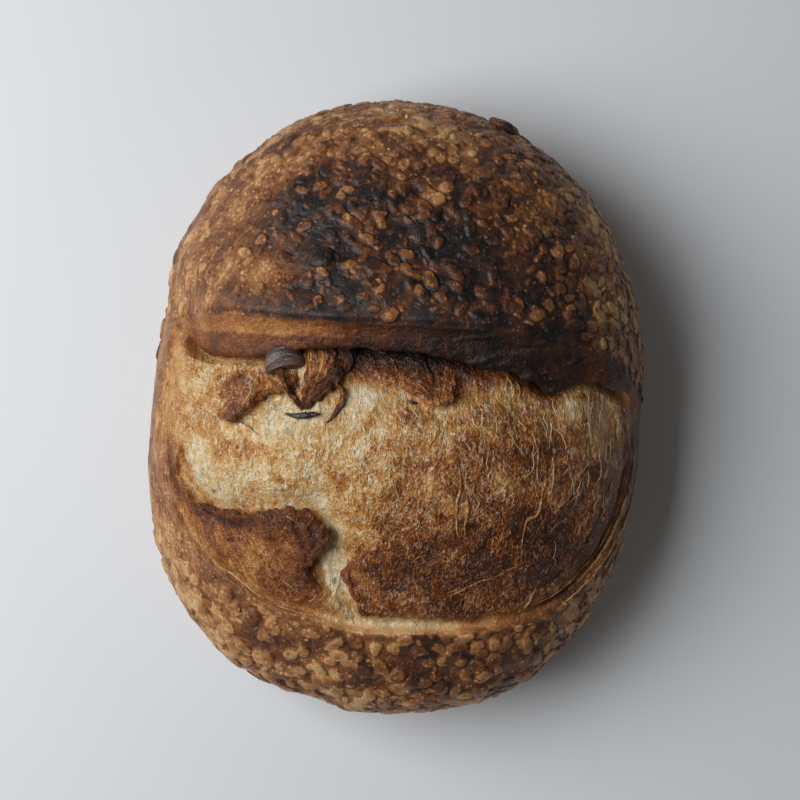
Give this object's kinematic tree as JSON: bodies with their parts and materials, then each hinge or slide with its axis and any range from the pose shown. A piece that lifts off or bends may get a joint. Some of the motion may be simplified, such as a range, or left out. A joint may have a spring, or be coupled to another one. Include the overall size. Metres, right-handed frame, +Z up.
{
  "type": "sourdough loaf",
  "caption": "Short, full-bellied sourdough loaf, slashed once from side to side, with a raised ear, a wide torn bloom in front of it and a dark blistered crust behind.",
  "frame": {"origin": "on the table, under the middle of the loaf's outline", "axes": "+X to the loaf's right with the torn bloom towards the viewer, +Y to the back, where the whole crust is, +Z up"},
  "size_m": [0.1879, 0.2326, 0.1064],
  "materials": {
    "bread": "matte baked crust"
  },
  "bodies": {
    "root": {"loaf": "bread"}
  },
  "joints": []
}
